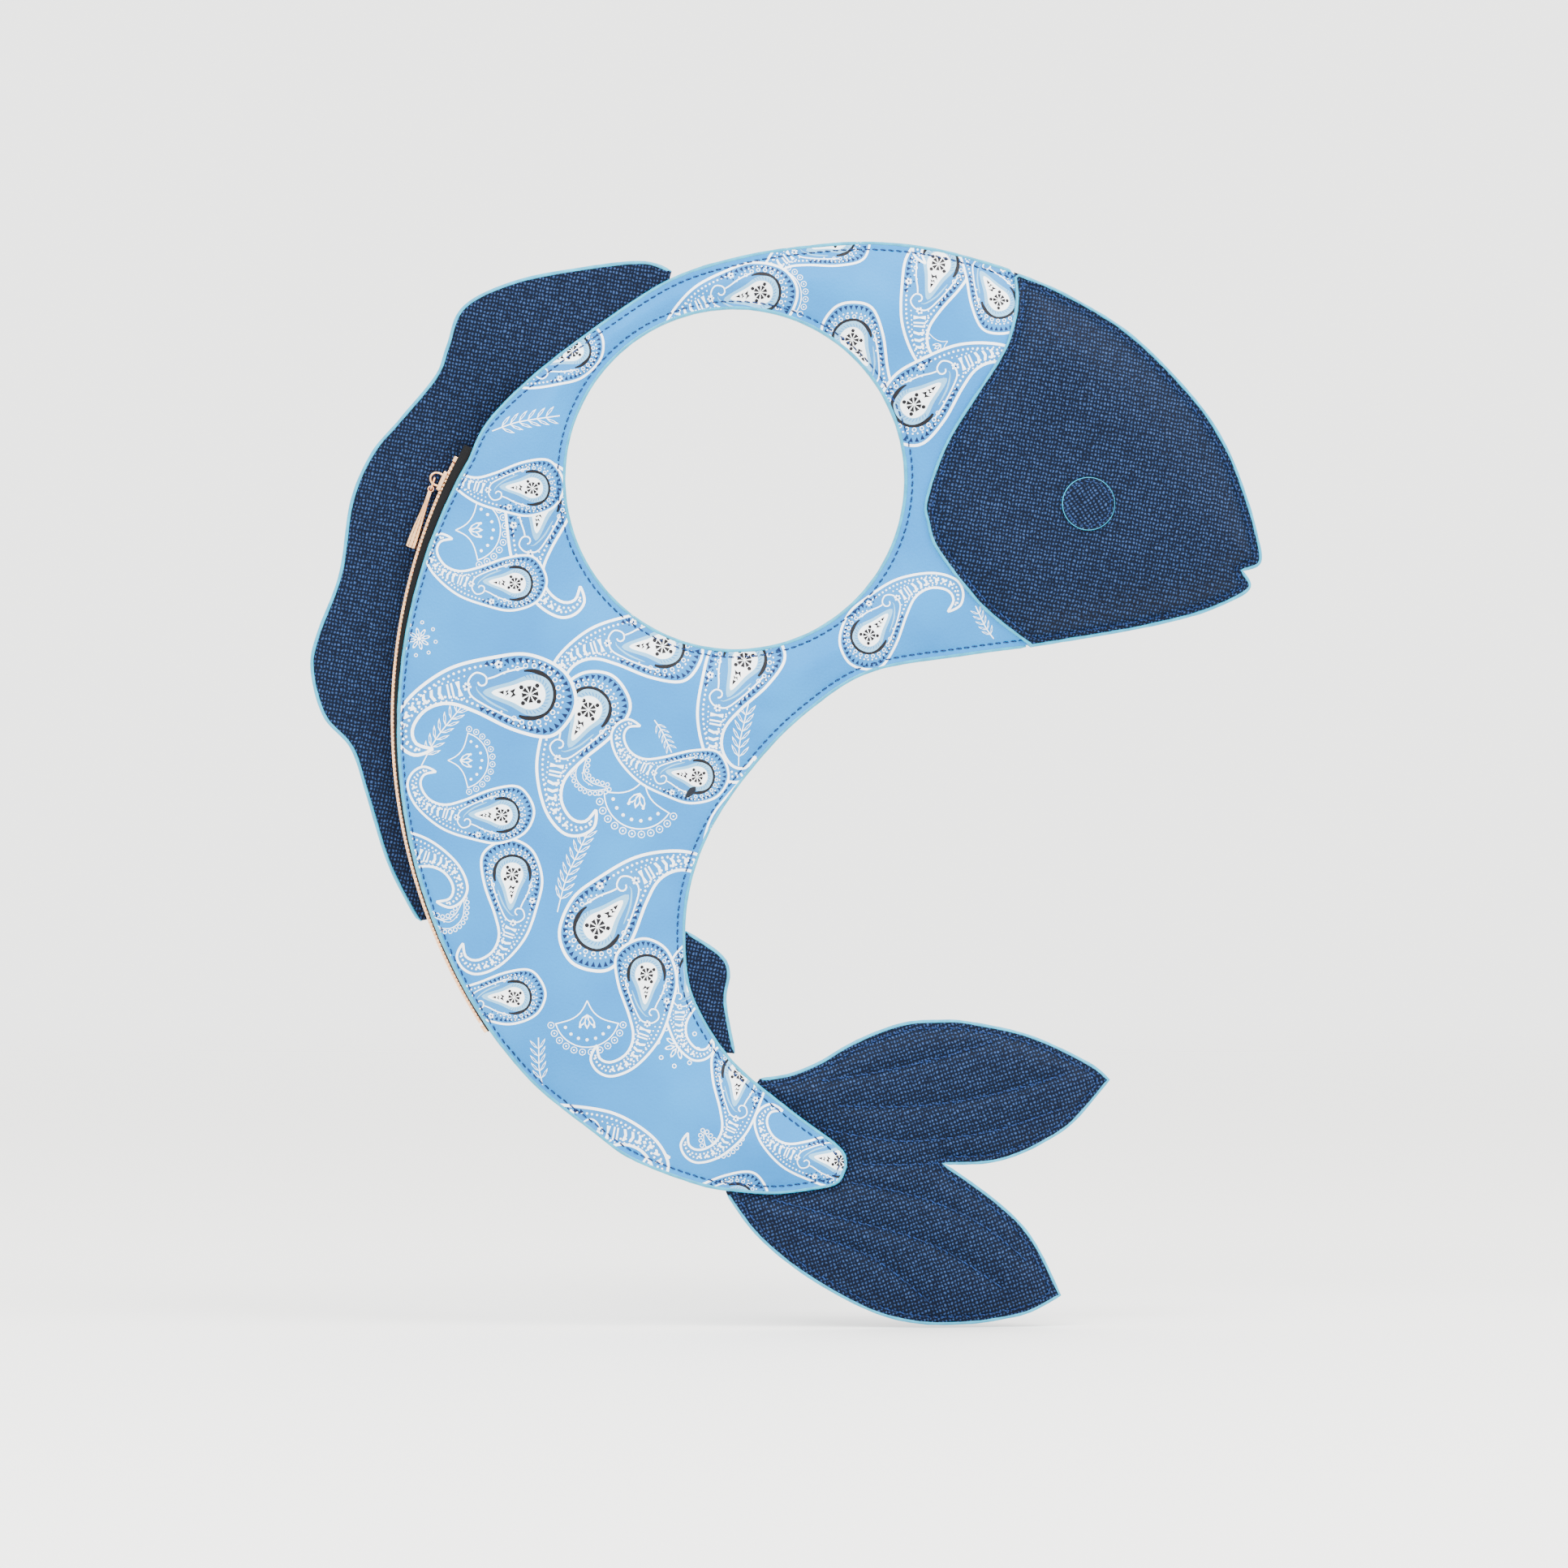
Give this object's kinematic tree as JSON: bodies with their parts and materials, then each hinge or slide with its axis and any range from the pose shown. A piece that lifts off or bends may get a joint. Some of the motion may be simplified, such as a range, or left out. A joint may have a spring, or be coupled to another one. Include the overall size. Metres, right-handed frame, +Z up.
{
  "type": "fish-shaped zipped handbag",
  "caption": "Fish-shaped flat leather handbag with a round arm hole, stuffed head and tail, flat fins and a curved back zip with a hanging pull.",
  "frame": {"origin": "top inner edge of the round arm hole, at the middle of the bag's thickness, where the bag hangs", "axes": "+Z up, +X towards the fish's mouth, the front panel faces -Y"},
  "size_m": [0.418, 0.0374, 0.4772],
  "materials": {
    "printed_leather": "smooth fine-grained coated leather with a white and navy print",
    "navy_leather": "cross-hatched embossed leather with painted edges",
    "lining": "plain woven lining",
    "wadding": "polyester wadding",
    "zip_tape": "black woven tape",
    "gold_metal": "polished light gold plating"
  },
  "bodies": {
    "bag": {"back_anal_fin": "navy_leather", "back_body_panel": "printed_leather", "back_dorsal_fin": "navy_leather", "back_eye": "navy_leather", "back_head": "navy_leather", "back_head_wadding": "wadding", "back_lining": "lining", "back_tail": "navy_leather", "back_top_stop": "gold_metal", "back_zip_tape": "zip_tape", "back_zip_teeth": "gold_metal", "bottom_stop": "gold_metal", "front_anal_fin": "navy_leather", "front_body_panel": "printed_leather", "front_dorsal_fin": "navy_leather", "front_eye": "navy_leather", "front_head": "navy_leather", "front_head_wadding": "wadding", "front_lining": "lining", "front_tail": "navy_leather", "front_top_stop": "gold_metal", "front_zip_tape": "zip_tape", "front_zip_teeth": "gold_metal", "tail_wadding": "wadding"},
    "slider": {"slider_body": "gold_metal", "slider_bail": "gold_metal"},
    "link": {"pull_link": "gold_metal"},
    "pull": {"pull_bar": "gold_metal"}
  },
  "joints": [
    {"name": "zip_travel", "type": "hinge", "parent": "bag", "child": "slider", "pos_m": [0.0982, 0, -0.1806], "axis": [0, -1, 0], "range_deg": [0, 54]},
    {"name": "link_swing", "type": "hinge", "parent": "slider", "child": "link", "pos_m": [-0.13197, 0, -0.07473], "axis": [0, 1, 0], "range_deg": [0, 75]},
    {"name": "pull_swing", "type": "hinge", "parent": "link", "child": "pull", "pos_m": [-0.13366, 0, -0.07965], "axis": [0, 1, 0], "range_deg": [0, 75]}
  ]
}
